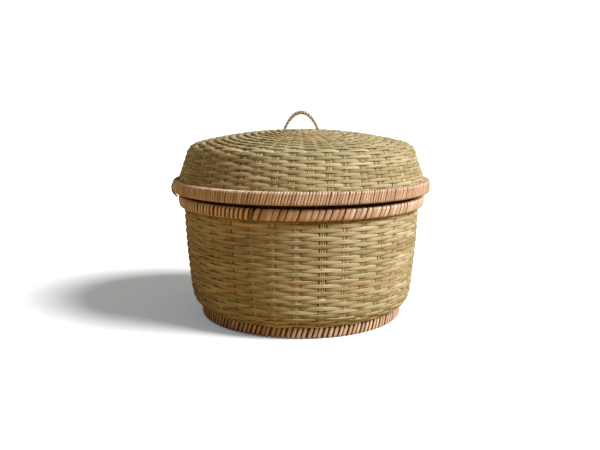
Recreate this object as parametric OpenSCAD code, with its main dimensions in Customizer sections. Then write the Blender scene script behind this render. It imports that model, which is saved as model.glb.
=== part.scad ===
// Round lidded chapati basket, woven from grass stalks over upright stakes, with rims
// of half-round cane that are lashed on with a flat cane strip.
// Millimetres, +Z up. The foot rests on z = 0, the basket's axis is x = y = 0 and -Y is the front.

/* [Overall] */
// Diameter over the lid's lashed rim, the widest part
rim_d = 177.8; // [165:0.1:195]
// Height from the table to the top of the loop
total_h = 139.7; // [133:0.1:150]
// Height of the bowl's lashed rim
bowl_h = 83.3; // [76:0.1:90]

/* [Weave] */
// Distance from one woven row to the next on the bowl
row_pitch = 2.45; // [2.2:0.05:3.5]
// Distance from one woven row to the next on the lid
lid_row_pitch = 2.05; // [1.9:0.05:3]
// Open line between two woven rows
row_gap = 0.2; // [0.1:0.05:0.5]
// Thickness of the stakes with the inner passes of the weavers
stake_t = 1.7; // [1.2:0.1:2.5]
// How far the weavers stand out from the stakes
weaver_t = 0.9; // [0.5:0.1:1.2]
// Thickness of the weave in the line between two rows
web_t = 0.35; // [0.2:0.05:0.45]
// Width over which each edge of a row is rounded off
row_edge = 0.5; // [0.2:0.05:0.8]

/* [Bowl] */
// Radius of the turn from the base into the wall
corner_r = 14; // [9:0.5:18]
// Radius of the wall's slight bow from top to bottom
side_r = 560; // [400:10:900]
// Lean of the wall where it enters the rim, in degrees
side_lean = 1.4; // [0:0.1:3]

/* [Lid] */
// Lean of the lid's wall towards the axis, in degrees
lid_lean = 18.7; // [12:0.1:23]
// Radius of the shoulder between the lid's wall and its crown
shoulder_r = 11; // [6:0.5:15]
// Radius of the crown's dome
crown_r = 307; // [220:1:500]
// Rise of the loop above the crown
loop_rise = 12.6; // [11.8:0.1:13.5]
// Height of the lid's wall above its lashing before it leans in
lid_upright = 1.55; // [0.5:0.05:3]
// Gap between the lid's lashing and the bowl's, all round
lid_gap = 0.3; // [0.2:0.05:0.5]

/* [Canes] */
// Thickness of the half-round cane outside the bowl's rim
rim_hoop_r = 2.7; // [2:0.1:3.2]
// Depth of that cane below its centre
rim_hoop_drop = 4.4; // [3.8:0.1:5.5]
// Thickness of the flat cane outside the lid's rim
lid_hoop_t = 4; // [3:0.1:4.5]
// Height of that cane
lid_hoop_h = 8.6; // [7:0.1:9.5]
// Radius of its upper edge
lid_hoop_top = 1.2; // [0.6:0.1:2]
// Radius of its lower edge
lid_hoop_low = 2.2; // [1:0.1:2.8]
// Thickness of the half-round cane inside the lid's rim
lid_inner_r = 2.2; // [1.5:0.1:3]
// Half the thickness of the foot's cane
foot_hoop_r = 2.6; // [2:0.1:3.2]
// Radius of the foot's lower edges
foot_edge = 1; // [0.5:0.1:1.6]
// Diameter over the lashed foot
foot_d = 139.8; // [130:0.1:146]
// How much of the foot's cane is cut flat underneath
foot_flat = 0.4; // [0.25:0.05:0.5]

/* [Collar] */
// Thickness of the flat cane ring that the lid drops round
collar_t = 2; // [1.2:0.1:3]
// Height of that ring above the bowl's rim
collar_rise = 5.3; // [3:0.1:7]
// Depth of that ring below the bowl's rim
collar_depth = 9; // [6:0.1:14]
// Running gap between that ring and the lid's lashing
collar_play = 1; // [0.6:0.1:2]

/* [Lashing] */
// Thickness of the cane strip
strip_t = 0.7; // [0.5:0.05:1]
// Turns of the strip round the bowl's rim
rim_turns = 138; // [90:1:142]
// Width of the strip on the bowl's rim
rim_strip_w = 2.7; // [1.8:0.1:3.1]
// Lean of the turns on the bowl's rim, in degrees
rim_turn_lean = 12; // [0:1:14]
// Turns of the strip round the lid's rim
lid_turns = 148; // [90:1:152]
// Width of the strip on the lid's rim
lid_strip_w = 2.8; // [1.8:0.1:3.1]
// Lean of the turns on the lid's rim, in degrees
lid_turn_lean = 8; // [0:1:10]
// Turns of the strip round the foot
foot_turns = 132; // [90:1:136]
// Width of the strip on the foot
foot_strip_w = 2.2; // [1.6:0.1:2.6]
// Lean of the turns on the foot, in degrees
foot_turn_lean = 10; // [0:1:12]

/* [Loop] */
// Width over the loop
loop_w = 25.4; // [21:0.1:26.5]
// Radius of one of its two strands
strand_r = 0.6; // [0.4:0.05:0.75]
// Gap between the two strands
strand_gap = 0.1; // [0.05:0.05:0.3]
// Length of one turn of the twist
twist_pitch = 4.5; // [4.5:0.1:9]
// Radius of the bend under the crown
tail_bend = 2.2; // [1.8:0.1:3]
// Length of each strand's straight end under the crown
tail_len = 9; // [5:0.5:14]

/* [Hidden] */
$fn = 72;
FAR = 400;  // longer than anything in the basket
TURN_REACH = 13;  // further than a lashing goes from the middle of its hoop

STRAW = "#c9b27c";
GRASS = "#9c8a52";
CANE = "#d9ab7e";
HOOP = "#8f5f3c";

snug = 0.1;  // between a hoop and the weave that it lies on
lash_gap = 0.15;  // between the strip and what it goes round
seat = 0.05;  // between the rows of weavers and the stakes
wall_t = stake_t + weaver_t;
lash_t = lash_gap + strip_t;

// Radii, from the widest part inwards
lid_r = rim_d / 2 - lash_t - lid_hoop_t - snug;
lid_mouth_r = lid_r - wall_t - snug - lid_inner_r - lash_t;
collar_r = lid_mouth_r - collar_play;
bowl_r = collar_r + lash_gap + lash_t + wall_t;

// Heights of the bowl's rim
rim_hoop_z = bowl_h - lash_t - rim_hoop_r;
bowl_edge_z = rim_hoop_z + rim_hoop_r;
rim_lash_drop = rim_hoop_drop * (rim_hoop_r + lash_t) / rim_hoop_r;
neck_z = rim_hoop_z - rim_lash_drop - snug;

// Heights of the lid's rim
lid_z = bowl_h + lid_gap;
lid_edge_z = lid_z + lash_t;
lid_neck_z = lid_edge_z + lid_hoop_h + lash_t + snug;
lid_bend_z = lid_neck_z + lid_upright;

// The foot
foot_r = foot_d / 2 - lash_t - foot_hoop_r;
foot_z = lash_t + foot_hoop_r - foot_flat;

// Points on an arc about c, without the first ones
ARC_STEPS = 18;
function arc(c, r, from, to, skip) =
    [for (i = [skip : ARC_STEPS]) let (a = from + (to - from) * i / ARC_STEPS) c + r * [cos(a), sin(a)]];

// The bowl's outline: the wall is an arc about bowl_side, the turn into the base one about bowl_corner
bowl_side = [bowl_r - side_r * cos(side_lean), neck_z + side_r * sin(side_lean)];
foot_reach = corner_r + snug + foot_hoop_r;
function corner_x(z) = bowl_side[0] + sqrt(pow(side_r - corner_r, 2) - pow(z - bowl_side[1], 2));
function corner_z(x) = foot_z + sqrt(pow(foot_reach, 2) - pow(max(foot_r - x, 0), 2));
function settled(z, steps) = steps == 0 ? z : settled(corner_z(corner_x(z)), steps - 1);
bowl_corner_z = settled(foot_z + foot_reach, 4);
bowl_corner = [corner_x(bowl_corner_z), bowl_corner_z];
base_z = bowl_corner_z - corner_r;
// Underside of the bowl over a place x outwards from the middle of the foot, and its slope there
function bowl_under(x) = let (o = max(foot_r + x - bowl_corner[0], 0)) bowl_corner_z - sqrt(pow(corner_r, 2) - o * o);
foot_slope = (foot_r - bowl_corner[0]) / (bowl_corner_z - bowl_under(0));
side_end = atan2(bowl_corner[1] - bowl_side[1], bowl_corner[0] - bowl_side[0]);

// The lid's outline: a straight wall that leans in, a shoulder about lid_shoulder, a dome about lid_centre
crest_z = total_h - loop_rise;
lid_centre = [0, crest_z - crown_r];
lid_normal = [cos(lid_lean), sin(lid_lean)];
lid_along = [-sin(lid_lean), cos(lid_lean)];
lid_from = [lid_r, lid_bend_z] - shoulder_r * lid_normal - lid_centre;
lid_side_l = -lid_from * lid_along
    + sqrt(pow(lid_from * lid_along, 2) - lid_from * lid_from + pow(crown_r - shoulder_r, 2));
lid_shoulder = lid_centre + lid_from + lid_side_l * lid_along;
crown_start = atan2(lid_shoulder[1] - lid_centre[1], lid_shoulder[0]);
function crown_z(r) = lid_centre[1] + sqrt(crown_r * crown_r - r * r);

// Lines between the woven rows, each as a place on the outline and the way that it faces
function on_arc(c, r, a) = [c + r * [cos(a), sin(a)], a];
function degrees_of(l, r) = l / r * 180 / PI;
side_step = degrees_of(row_pitch, side_r);
side_start = asin((neck_z - snug - row_pitch - bowl_side[1]) / side_r);
side_rows = floor((side_start - side_end) / side_step);
side_rest = (side_start - side_end - side_rows * side_step) * PI / 180 * side_r;
corner_step = degrees_of(row_pitch, corner_r);
corner_start = side_end - degrees_of(row_pitch - side_rest, corner_r);
base_rows = floor(bowl_corner[0] / row_pitch) - 3;
bowl_lines = concat(
    [for (i = [0 : side_rows]) on_arc(bowl_side, side_r, side_start - i * side_step)],
    [for (a = [corner_start : -corner_step : -90 + corner_step / 2]) on_arc(bowl_corner, corner_r, a)],
    [for (i = [0 : base_rows]) [[bowl_corner[0] - i * row_pitch, base_z], -90]]);

shoulder_step = degrees_of(lid_row_pitch, shoulder_r);
crown_step = degrees_of(lid_row_pitch, crown_r);
crown_last = 90 - degrees_of(3 * lid_row_pitch, crown_r);
lid_lines = concat(
    [[[lid_r, lid_bend_z], lid_lean / 2]],
    [for (l = [lid_row_pitch : lid_row_pitch : lid_side_l - lid_row_pitch / 2])
        [[lid_r, lid_bend_z] + l * lid_along, lid_lean]],
    [for (a = [lid_lean : shoulder_step : crown_start - shoulder_step / 2])
        on_arc(lid_shoulder, shoulder_r, a)],
    [for (a = [crown_start : crown_step : crown_last]) on_arc(lid_centre, crown_r, a)]);

// The loop: two strands twisted round a line that runs under the crown, up, over and down again
strand_off = strand_r + strand_gap / 2;
cord_r = strand_off + strand_r;
loop_r = loop_w / 2 - cord_r;
loop_z = total_h - cord_r - loop_r;
eye_r = cord_r + 0.4;
tail_z = crown_z(loop_r + tail_bend + tail_len) - wall_t - snug - lash_gap - cord_r;
leg_l = loop_z - tail_z - tail_bend;
bend_l = tail_bend * PI / 2;
arch_l = loop_r * PI;
loop_l = 2 * (tail_len + bend_l + leg_l) + arch_l;
TURN_RINGS = 8;
STRAND_SIDES = 8;
rings = round(loop_l / twist_pitch * TURN_RINGS);

// Place and direction on half of the loop's line, from the end of its right tail
function line_half(s) =
    s < tail_len ? [[loop_r + tail_bend + tail_len - s, tail_z], [-1, 0]]
    : s < tail_len + bend_l ? line_bend(-90 - degrees_of(s - tail_len, tail_bend))
    : s < tail_len + bend_l + leg_l ? [[loop_r, tail_z + tail_bend + s - tail_len - bend_l], [0, 1]]
    : line_arch(degrees_of(s - tail_len - bend_l - leg_l, loop_r));
function line_bend(a) =
    [[loop_r + tail_bend, tail_z + tail_bend] + tail_bend * [cos(a), sin(a)], [sin(a), -cos(a)]];
function line_arch(a) = [[0, loop_z] + loop_r * [cos(a), sin(a)], [-sin(a), cos(a)]];
function mirrored(p) = [[-p[0][0], p[0][1]], [p[1][0], -p[1][1]]];
function line(s) = s <= loop_l / 2 ? line_half(s) : mirrored(line_half(loop_l - s));
function out_dir(s, phase) =
    let (t = line(s)[1], a = 360 * s / twist_pitch + phase) [t[1] * cos(a), sin(a), -t[0] * cos(a)];
function strand(s, phase) =
    let (p = line(s)[0]) [p[0], 0, p[1]] + strand_off * out_dir(s, phase);
function unit(v) = v / norm(v);
function ring(s, phase) =
    let (d = 0.05, e = out_dir(s, phase), w = unit(cross(strand(s + d, phase) - strand(s - d, phase), e)))
    [for (j = [0 : STRAND_SIDES - 1])
        strand(s, phase) + strand_r * (cos(360 * j / STRAND_SIDES) * e + sin(360 * j / STRAND_SIDES) * w)];

// The half that lies outside the weave of a round end of radius r over a point drop below its centre
module half_teardrop(r, drop) {
    // just within the circle, so that the straight side crosses it
    meet = 0.99 * r * [sqrt(1 - pow(r / drop, 2)), -r / drop];
    intersection() {
        union() {
            circle(r);
            polygon([[0, 0], [0, -drop], meet]);
        }
        translate([0, -drop]) square([r, drop + r]);
    }
}

// Section of the flat cane outside the lid's rim, from the edge of the weave up, swelled by e
EDGE_STEPS = 3;
function edge(c, r, from) =
    [for (i = [0 : EDGE_STEPS]) let (a = from + 90 * i / EDGE_STEPS) c + r * [cos(a), sin(a)]];
module lid_strap(e) {
    polygon(concat([[0, -e]],
        edge([lid_hoop_t - lid_hoop_low, lid_hoop_low], lid_hoop_low + e, -90),
        edge([lid_hoop_t - lid_hoop_top, lid_hoop_h - lid_hoop_top], lid_hoop_top + e, 0),
        [[0, lid_hoop_h + e]]));
}

// Section of the foot's cane about the middle of its thickness, swelled by e, up to the three heights
module foot_strap(e, left, middle, right) {
    side = foot_hoop_r - foot_edge;
    low = foot_edge + foot_flat - foot_hoop_r;
    polygon(concat(
        edge([-side, low], foot_edge + e, 180),
        edge([side, low], foot_edge + e, 270),
        [[foot_hoop_r + e, right], [0, middle], [-foot_hoop_r - e, left]]));
}

// Half section of everything within the bowl's outline, drawn in by e
module bowl_region(e) {
    top = asin((neck_z - bowl_side[1]) / (side_r - e));
    polygon(concat([[0, base_z + e]],
        arc(bowl_corner, corner_r - e, -90, side_end, 0),
        arc(bowl_side, side_r - e, side_end, top, 1),
        [[0, neck_z]]));
}

// Half section of everything within the lid's outline, drawn in by e, down to z = low
module lid_region(e, low) {
    knee = [lid_r - e, lid_bend_z - e * tan(lid_lean / 2)];
    polygon(concat([[0, low], [lid_r - e, low], knee],
        arc(lid_shoulder, shoulder_r - e, lid_lean, crown_start, 0),
        arc(lid_centre, crown_r - e, crown_start, 90, 1)));
}

// The line between two rows, whose edges are rounded off towards it
module line_section(line) {
    deep = weaver_t - web_t;
    wide = row_gap / 2 + row_edge;
    proud = 0.2;
    translate(line[0]) rotate(line[1]) polygon([
        [-deep, -row_gap / 2], [-deep, row_gap / 2],
        [proud, wide + proud * row_edge / deep], [proud, -wide - proud * row_edge / deep]]);
}

// The turns of a lashing, all round a hoop: each is its section, drawn out and cut by two leaning planes
module turns(count, width, lean, r, z) {
    drawn_out = width + 2 * TURN_REACH * sin(lean);
    for (i = [0 : count - 1])
        rotate([0, 0, i * 360 / count]) translate([r, 0, z]) intersection() {
            rotate([90, 0, 0]) linear_extrude(drawn_out, center = true) children();
            rotate([-lean, 0, 0]) cube([2 * TURN_REACH, width, 2 * TURN_REACH], center = true);
        }
}

// The loop's two legs pass through the crown in these
module eyes() {
    for (side = [-1, 1])
        translate([side * loop_r, 0, tail_z]) cylinder(r = eye_r, h = crest_z - tail_z + 1);
}

module bowl_shell() {
    color(STRAW) rotate_extrude() difference() {
        union() {
            bowl_region(weaver_t);
            translate([0, neck_z]) square([bowl_r, bowl_edge_z - neck_z]);
        }
        bowl_region(wall_t);
        translate([0, neck_z]) square([bowl_r - wall_t, FAR]);
    }
}

module bowl_weavers() {
    color(GRASS) rotate_extrude() difference() {
        bowl_region(0);
        bowl_region(weaver_t - seat);
        for (line = bowl_lines) line_section(line);
        translate([0, neck_z - snug]) square(FAR);
    }
}

module foot_hoop() {
    top = bowl_under(0) - foot_z - lash_gap;
    left = min(bowl_under(-foot_hoop_r) - foot_z - lash_gap, top);
    color(HOOP) rotate_extrude() translate([foot_r, foot_z])
        foot_strap(0, left, top, top + foot_hoop_r * foot_slope);
}

// One turn round the foot: it comes out of the weave, goes under the cane and back into the weave
module foot_turn() {
    outer = foot_hoop_r + lash_t;
    difference() {
        foot_strap(lash_t, corner_r, corner_r, corner_r);
        foot_strap(lash_gap, FAR, FAR, FAR);
        translate([-outer, base_z - foot_z - lash_gap]) square([bowl_corner[0] - foot_r + outer, FAR]);
        translate(bowl_corner - [foot_r, foot_z]) circle(corner_r + lash_gap);
    }
}

module foot_lashing() {
    color(CANE) turns(foot_turns, foot_strip_w, foot_turn_lean, foot_r, foot_z) foot_turn();
}

module rim_hoop() {
    color(HOOP) rotate_extrude() translate([bowl_r + snug, rim_hoop_z])
        half_teardrop(rim_hoop_r, rim_hoop_drop);
}

// One turn round the bowl's rim: over the cane and the edge of the weave, and down inside it
module rim_turn() {
    hollow = rim_hoop_r + lash_gap;
    outer = rim_hoop_r + lash_t;
    ratio = rim_hoop_drop / rim_hoop_r;
    inside = -wall_t - lash_t - snug;
    difference() {
        union() {
            half_teardrop(outer, outer * ratio);
            translate([inside, -rim_hoop_drop]) square([-inside, outer + rim_hoop_drop - strip_t]);
            translate([inside + strip_t, -rim_hoop_drop]) square([-inside - strip_t, outer + rim_hoop_drop]);
            translate([inside + strip_t, outer - strip_t]) circle(strip_t);
        }
        half_teardrop(hollow, hollow * ratio);
        translate([inside + strip_t, -FAR]) square([-inside - strip_t, FAR + hollow]);
    }
}

module rim_lashing() {
    color(CANE) turns(rim_turns, rim_strip_w, rim_turn_lean, bowl_r + snug, rim_hoop_z) rim_turn();
}

module collar_ring() {
    color(HOOP) rotate_extrude() translate([collar_r - collar_t, bowl_h - collar_depth])
        square([collar_t, collar_depth + collar_rise]);
}

module lid_shell() {
    color(STRAW) difference() {
        rotate_extrude() difference() {
            union() {
                lid_region(weaver_t, lid_edge_z);
                translate([0, lid_edge_z]) square([lid_r, lid_neck_z - snug - lid_edge_z]);
            }
            lid_region(wall_t, lid_edge_z - 1);
        }
        eyes();
    }
}

module lid_weavers() {
    color(GRASS) difference() {
        rotate_extrude() difference() {
            lid_region(0, lid_neck_z);
            lid_region(weaver_t - seat, 0);
            for (line = lid_lines) line_section(line);
        }
        eyes();
    }
}

module lid_outer_hoop() {
    color(HOOP) rotate_extrude() translate([lid_r + snug, lid_edge_z]) lid_strap(0);
}

module lid_inner_hoop() {
    color(HOOP) rotate_extrude() translate([lid_r - wall_t - snug, lid_edge_z + lid_inner_r]) intersection() {
        circle(lid_inner_r);
        translate([-lid_inner_r, -lid_inner_r]) square([lid_inner_r, 2 * lid_inner_r]);
    }
}

// One turn round the lid's rim: down over the outer cane, under the edge and up over the inner cane
module lid_turn() {
    inside = -wall_t - 2 * snug;
    difference() {
        union() {
            lid_strap(lash_t);
            translate([inside, -lash_t]) square([-inside, lid_inner_r + lash_t]);
            translate([inside, lid_inner_r]) circle(lid_inner_r + lash_t);
        }
        lid_strap(lash_gap);
        translate([inside, -lash_gap]) square([-inside, FAR]);
        translate([inside, lid_inner_r]) circle(lid_inner_r + lash_gap);
    }
}

module lid_lashing() {
    color(CANE) turns(lid_turns, lid_strip_w, lid_turn_lean, lid_r + snug, lid_edge_z) lid_turn();
}

module twisted_strand(phase) {
    n = STRAND_SIDES;
    polyhedron(
        points = [for (i = [0 : rings]) each ring(i * loop_l / rings, phase)],
        faces = concat(
            [[for (j = [0 : n - 1]) j]],
            [[for (j = [n - 1 : -1 : 0]) rings * n + j]],
            [for (i = [0 : rings - 1], j = [0 : n - 1], half = [0, 1])
                let (a = i * n + j, b = i * n + (j + 1) % n)
                half == 0 ? [a, a + n, b + n] : [a, b + n, b]]));
}

module handle_strand_a() {
    color(CANE) twisted_strand(0);
}

module handle_strand_b() {
    color(HOOP) twisted_strand(180);
}

bowl_shell();
bowl_weavers();
foot_hoop();
foot_lashing();
rim_hoop();
rim_lashing();
collar_ring();
lid_shell();
lid_weavers();
lid_outer_hoop();
lid_inner_hoop();
lid_lashing();
handle_strand_a();
handle_strand_b();
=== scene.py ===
"""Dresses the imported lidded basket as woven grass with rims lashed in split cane.

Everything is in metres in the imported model's own frame: +Z up, -Y towards the front, the
basket's foot on z = 0. Sizes in the classes are in millimetres and are scaled when a mesh is made.
Places round the basket are degrees from the front, positive to the right.
"""

import logging
import math
from dataclasses import dataclass, replace
from enum import Enum
from functools import cache
from typing import Any, ClassVar, Sequence

import bmesh
import bpy
import numpy as np
from mathutils import Matrix, Vector


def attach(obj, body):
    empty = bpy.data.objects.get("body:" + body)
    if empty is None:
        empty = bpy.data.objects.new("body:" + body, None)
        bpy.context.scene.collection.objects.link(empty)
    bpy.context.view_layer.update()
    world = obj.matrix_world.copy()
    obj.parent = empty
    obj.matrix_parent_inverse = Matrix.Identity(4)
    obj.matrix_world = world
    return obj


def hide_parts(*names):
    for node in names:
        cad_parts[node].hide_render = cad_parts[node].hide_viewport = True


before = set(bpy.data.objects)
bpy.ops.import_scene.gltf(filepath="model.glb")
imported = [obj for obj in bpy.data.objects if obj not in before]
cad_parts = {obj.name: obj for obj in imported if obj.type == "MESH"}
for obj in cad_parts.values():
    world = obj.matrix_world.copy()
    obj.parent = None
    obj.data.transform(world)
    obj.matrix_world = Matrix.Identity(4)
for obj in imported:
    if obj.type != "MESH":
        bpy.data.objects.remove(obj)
log = logging.getLogger("basket")

MM = 0.001
WHOLE_TURN = 2 * math.pi
Array = np.ndarray
Material = bpy.types.Material
NodeTree = bpy.types.NodeTree
Object = bpy.types.Object
Pair = tuple[float, float]


class Body(Enum):
    """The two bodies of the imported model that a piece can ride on."""

    BOWL = "bowl"
    LID = "lid"


class Slot(Enum):
    """The record's material slots."""

    STAKES = "stakes"
    WEAVERS = "weavers"
    STRIP = "cane_strip"
    HOOP = "hoop_cane"
    LOOP = "loop_cane"


def linear(colour: str) -> tuple[float, float, float, float]:
    """Turn an sRGB hex colour into the linear colour that a shader takes.

    Args:
        colour: Six hex digits after a hash.

    Returns:
        Linear red, green, blue and an alpha of 1.
    """
    channels = [int(colour[i : i + 2], 16) / 255 for i in (1, 3, 5)]
    curved = [c / 12.92 if c <= 0.04045 else ((c + 0.055) / 1.055) ** 2.4 for c in channels]
    return (curved[0], curved[1], curved[2], 1.0)


def add(tree: NodeTree, kind: str, inputs: dict[Any, Any] | None = None, **settings: Any) -> Any:
    """Add a node with its settings and links.

    Args:
        tree: The node tree that it goes into.
        kind: The node's type name, without the leading ShaderNode.
        inputs: A value or an output socket for each named or numbered input.
        **settings: The node's own properties.

    Returns:
        The new node.
    """
    made = tree.nodes.new("ShaderNode" + kind)
    for name, value in settings.items():
        setattr(made, name, value)
    for key, value in (inputs or {}).items():
        if isinstance(value, bpy.types.NodeSocket):
            tree.links.new(value, made.inputs[key])
        else:
            made.inputs[key].default_value = value
    return made


def bare_material(name: str) -> tuple[Material, NodeTree]:
    """Make a material that has no nodes yet.

    Args:
        name: The material's name.

    Returns:
        The material and its node tree.
    """
    material = bpy.data.materials.new(name)
    material.use_nodes = True
    material.node_tree.nodes.clear()
    return material, material.node_tree


@dataclass(frozen=True)
class Fibre:
    """A dried plant strand, whose mesh carries its grain and its tone.

    The mesh attribute grain holds millimetres along the strand, the place across it from -1 to 1,
    and the strand's number. The attribute tone holds how pale, how green and how rusty it is.
    """

    name: str
    dark: str
    pale: str
    green: str
    rust: str
    groove: str
    roughness: Pair
    specular: float
    grain_length: float = 16.0
    lines_across: float = 5.0
    groove_share: float = 0.45
    relief: float = 0.07
    # how far the fibres' noise moves on from one strand to the next
    STRAND_STEP = 13.7
    # where the stalk dried unevenly: blotches about 8 mm long, which shift its paleness
    BLOTCH = (0.12, 0.5, 5.3)
    BLOTCH_SHIFT = 0.9
    # typical of dry plant fibre
    IOR = 1.45

    @cache
    def material(self) -> Material:
        """Build the node material.

        Returns:
            The material, with colour, roughness and bump that run along the strand.
        """
        material, tree = bare_material(self.name)
        read = (add(tree, "Attribute", attribute_name=label) for label in ("grain", "tone"))
        grain, tone = (node.outputs["Vector"] for node in read)
        paleness, greenness, rustiness = add(tree, "SeparateXYZ", {0: tone}).outputs

        # the plant's fibres are lines a few tenths of a millimetre apart that run along the strand
        fibres = (1 / self.grain_length, self.lines_across, self.STRAND_STEP)
        noises = []
        for stretch, detail, rough in ((fibres, 4.0, 0.6), (self.BLOTCH, 2.0, 0.5)):
            place = add(tree, "VectorMath", {0: grain, 1: stretch}, operation="MULTIPLY").outputs[0]
            stretched = {"Vector": place, "Scale": 1.0, "Detail": detail, "Roughness": rough}
            noises.append(add(tree, "TexNoise", stretched).outputs["Fac"])
        lines, blotch = noises
        uneven = add(tree, "Math", {0: blotch, 1: 0.5}, operation="SUBTRACT").outputs[0]
        blotched = {0: uneven, 1: self.BLOTCH_SHIFT, 2: paleness}
        paleness = add(tree, "Math", blotched, operation="MULTIPLY_ADD", use_clamp=True).outputs[0]
        furrow = add(tree, "MapRange", {0: lines, 1: 0.50, 2: 0.36, 3: 0.0, 4: self.groove_share}).outputs[0]
        colour: Any = linear(self.dark)
        tints = (
            (paleness, self.pale), (greenness, self.green), (rustiness, self.rust), (furrow, self.groove))
        for share, tint in tints:
            colour = add(tree, "Mix", {0: share, 6: colour, 7: linear(tint)}, data_type="RGBA").outputs[2]
        low, high = self.roughness
        gloss = add(tree, "MapRange", {0: lines, 1: 0.35, 2: 0.65, 3: high, 4: low})
        bump = add(tree, "Bump", {"Height": lines, "Distance": self.relief * MM, "Strength": 1.0})
        shader = add(tree, "BsdfPrincipled", {
            "Base Color": colour, "Roughness": gloss.outputs[0], "Normal": bump.outputs[0],
            "Specular IOR Level": self.specular, "IOR": self.IOR})
        add(tree, "OutputMaterial", {"Surface": shader.outputs[0]})
        return material


@dataclass(frozen=True)
class RoundCane:
    """Cane, or the dark sheet of painted shade in the wall's middle, lying round the basket, with bark lines
    that run round it.
    """

    name: str
    dark: str
    pale: str
    line_pitch: float = 0.7
    knot_pitch: float = 60.0
    # about the hoops' radius, which turns lengths along them into turns, and the length of a streak
    REACH = 80.0
    STREAK = 25.0
    ROUGHNESS = 0.55
    SPECULAR = 0.35

    @cache
    def material(self) -> Material:
        """Build the node material from the hoop's own round coordinates.

        Returns:
            The material, with streaks along the hoop and darker nodes where leaves grew.
        """
        material, tree = bare_material(self.name)
        x, y, z = add(tree, "SeparateXYZ", {0: add(tree, "TexCoord").outputs["Object"]}).outputs
        turn = add(tree, "Math", {0: y, 1: x}, operation="ARCTAN2").outputs[0]
        flat = add(tree, "CombineXYZ", {0: x, 1: y}).outputs[0]
        reach = add(tree, "VectorMath", {0: flat}, operation="LENGTH").outputs["Value"]
        lines = 1 / (self.line_pitch * MM)
        round_ = add(tree, "CombineXYZ", {0: turn, 1: reach, 2: z}).outputs[0]
        stretch = (self.REACH / self.STREAK, lines, lines)
        grain = add(tree, "VectorMath", {0: round_, 1: stretch}, operation="MULTIPLY").outputs[0]
        noise = add(tree, "TexNoise", {"Vector": grain, "Scale": 1.0, "Detail": 3.0, "Roughness": 0.6})
        streaks = noise.outputs["Fac"]
        knots = self.REACH * WHOLE_TURN / self.knot_pitch
        ring = add(tree, "Math", {0: turn, 1: knots}, operation="MULTIPLY").outputs[0]
        wave = add(tree, "Math", {0: ring}, operation="SINE").outputs[0]
        streaked = add(tree, "MapRange", {0: streaks, 1: 0.3, 2: 0.7}).outputs[0]
        knot = add(tree, "MapRange", {0: wave, 1: 0.985, 2: 1.0, 3: 0.0, 4: 0.6}).outputs[0]
        colour: Any = linear(self.dark)
        for share, tint in ((streaked, self.pale), (knot, self.dark)):
            colour = add(tree, "Mix", {0: share, 6: colour, 7: linear(tint)}, data_type="RGBA").outputs[2]
        bump = add(tree, "Bump", {"Height": streaks, "Distance": 0.1 * MM, "Strength": 1.0})
        shader = add(tree, "BsdfPrincipled", {
            "Base Color": colour, "Normal": bump.outputs[0], "Roughness": self.ROUGHNESS,
            "Specular IOR Level": self.SPECULAR})
        add(tree, "OutputMaterial", {"Surface": shader.outputs[0]})
        return material


# Grass stalks dry to a satin straw; flattened while damp, they keep fine length lines that catch light
GRASS_WEAVER = Fibre(
    "flattened dried grass", dark="#a0905e", pale="#e2d4ae", green="#a09c73", rust="#bf8a5c",
    groove="#4e3c1c", roughness=(0.42, 0.62), specular=0.25, lines_across=3.4, groove_share=0.6)
# The upright stalks stay round and are paler, with a matt skin
GRASS_STAKE = Fibre(
    "round dried grass stalk", dark="#b09e6c", pale="#ecdcb8", green="#a59f78", rust="#bd967a",
    groove="#59431d", roughness=(0.5, 0.7), specular=0.2, lines_across=3.0)
# Cane split along its length keeps its glossy rind outside, which shows narrow streaky highlights
SPLIT_CANE = Fibre(
    "split cane strip", dark="#bd8c66", pale="#f4dcc2", green="#7d7440", rust="#c9835a",
    groove="#744525", roughness=(0.28, 0.42), specular=0.8, grain_length=22.0, lines_across=7.0,
    groove_share=0.4, relief=0.06)
# The loop's strands are peeled cane core, fibrous and matt
TWISTED_CANE = Fibre(
    "twisted cane core", dark="#b8a078", pale="#f4e2c2", green="#857645", rust="#a5694a",
    groove="#94764e", roughness=(0.5, 0.7), specular=0.3, grain_length=7.0, lines_across=6.0,
    groove_share=0.5, relief=0.12)
# Whole cane bent green and left unpeeled dries brown; its dark brown is partly painted shade, as its bits
# show in shaded gaps
BROWN_CANE = RoundCane("brown round cane", dark="#4a280f", pale="#85552e")
# The canes under both rims' strips were scraped first, and stay tan
TAN_CANE = RoundCane("scraped tan cane", dark="#70431f", pale="#a2703f")
# The collar sits deep in the gap between the two rims; its near-black colour is painted shade
COLLAR_PAINTED_SHADE_CANE = RoundCane("inner cane in painted shade", dark="#2e180c", pale="#553219")
# One old strip's end is dark red brown
OLD_STRIP = RoundCane("dark red brown cane strip", dark="#2e150d", pale="#5c3222", line_pitch=0.3)
# Painted shade: the wall's middle is a dark sheet whose colour stands for the shade deep between the floats
CORE_PAINTED_SHADE = RoundCane("painted shade deep in the weave", dark="#2b1e0b", pale="#4a3816", knot_pitch=400.0)


def stand(name: str, data: Any) -> Object:
    """Put a new object into the scene.

    Args:
        name: The object's name.
        data: Its mesh, lamp or camera.

    Returns:
        The new object.
    """
    made = bpy.data.objects.new(name, data)
    bpy.context.scene.collection.objects.link(made)
    return made


def dress(piece: Object, finish: Fibre | RoundCane, body: Body, slot: Slot, *replaced: str) -> None:
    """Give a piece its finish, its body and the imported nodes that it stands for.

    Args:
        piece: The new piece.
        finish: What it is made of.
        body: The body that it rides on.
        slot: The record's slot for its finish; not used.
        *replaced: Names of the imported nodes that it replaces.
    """
    piece.data.materials.append(finish.material())
    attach(piece, body.value)
    if replaced:
        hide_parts(*replaced)
    log.info("%s: %d faces, rides on %s", piece.name, len(piece.data.polygons), body.value)


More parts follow.
